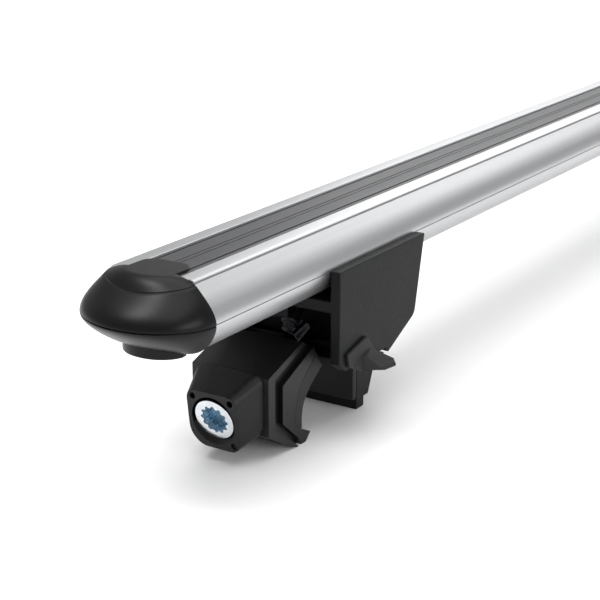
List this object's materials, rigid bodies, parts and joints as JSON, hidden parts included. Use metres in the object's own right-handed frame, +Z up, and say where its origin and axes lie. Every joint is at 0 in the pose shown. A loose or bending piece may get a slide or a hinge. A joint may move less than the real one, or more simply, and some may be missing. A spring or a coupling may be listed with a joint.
{
  "type": "roof rack crossbar",
  "caption": "Aluminium roof rack crossbar with a rubber top strip, domed end caps and sliding feet whose bolted claws clamp raised side rails",
  "frame": {"origin": "middle of the bar's length and width, at the level the feet stand on", "axes": "+X along the bar, +Y along the side rails, +Z up"},
  "size_m": [1.2494, 0.0936, 0.0962],
  "materials": {
    "anodised_bar": "satin anodised",
    "strip_rubber": "matt extruded",
    "cap_moulding": "satin moulded",
    "bracket_coat": "fine powder coat",
    "rubber": "matt moulded",
    "black_moulding": "satin moulded",
    "zinc_steel": "black zinc plated",
    "dark_steel": "blackened",
    "bright_zinc": "bright zinc"
  },
  "bodies": {
    "bar": {"bar_extrusion": "anodised_bar", "top_strip": "strip_rubber", "end_cap_left": "cap_moulding", "end_cap_right": "cap_moulding"},
    "foot_left": {"foot_bracket_left": "bracket_coat", "saddle_pad_left": "rubber", "inner_liner_left": "rubber", "slot_nuts_left": "zinc_steel", "slot_washers_left": "zinc_steel", "slot_bolts_left": "zinc_steel", "clamp_nut_left": "zinc_steel", "stop_screw_left": "dark_steel", "stop_collar_left": "dark_steel"},
    "claw_left": {"rail_claw_left": "black_moulding", "claw_liner_left": "rubber", "bolt_housing_left": "black_moulding", "clamp_washer_left": "zinc_steel"},
    "bolt_left": {"clamp_bolt_left": "bright_zinc", "bolt_clip_left": "dark_steel"},
    "foot_right": {"foot_bracket_right": "bracket_coat", "saddle_pad_right": "rubber", "inner_liner_right": "rubber", "slot_nuts_right": "zinc_steel", "slot_washers_right": "zinc_steel", "slot_bolts_right": "zinc_steel", "clamp_nut_right": "zinc_steel", "stop_screw_right": "dark_steel", "stop_collar_right": "dark_steel"},
    "claw_right": {"rail_claw_right": "black_moulding", "claw_liner_right": "rubber", "bolt_housing_right": "black_moulding", "clamp_washer_right": "zinc_steel"},
    "bolt_right": {"clamp_bolt_right": "bright_zinc", "bolt_clip_right": "dark_steel"}
  },
  "joints": [
    {"name": "foot_left_slide", "type": "slide", "parent": "bar", "child": "foot_left", "axis": [1, 0, 0], "range_m": [-0.05, 0.15]},
    {"name": "claw_left_slide", "type": "slide", "parent": "foot_left", "child": "claw_left", "axis": [-0.9588, 0, -0.284], "range_m": [0, 0.012]},
    {"name": "bolt_left_turn", "type": "hinge", "parent": "claw_left", "child": "bolt_left", "pos_m": [-0.5622, 0, 0.02], "axis": [-0.9588, 0, -0.284], "range_deg": [0, 3456.5]},
    {"name": "foot_right_slide", "type": "slide", "parent": "bar", "child": "foot_right", "axis": [-1, 0, 0], "range_m": [-0.05, 0.15]},
    {"name": "claw_right_slide", "type": "slide", "parent": "foot_right", "child": "claw_right", "axis": [0.9588, 0, -0.284], "range_m": [0, 0.012]},
    {"name": "bolt_right_turn", "type": "hinge", "parent": "claw_right", "child": "bolt_right", "pos_m": [0.5622, 0, 0.02], "axis": [0.9588, 0, -0.284], "range_deg": [0, 3456.5]}
  ],
  "couplings": [
    {"joint": "bolt_left_turn", "follows": "claw_left_slide", "rad_per_m": 5026.5},
    {"joint": "bolt_right_turn", "follows": "claw_right_slide", "rad_per_m": 5026.5}
  ]
}
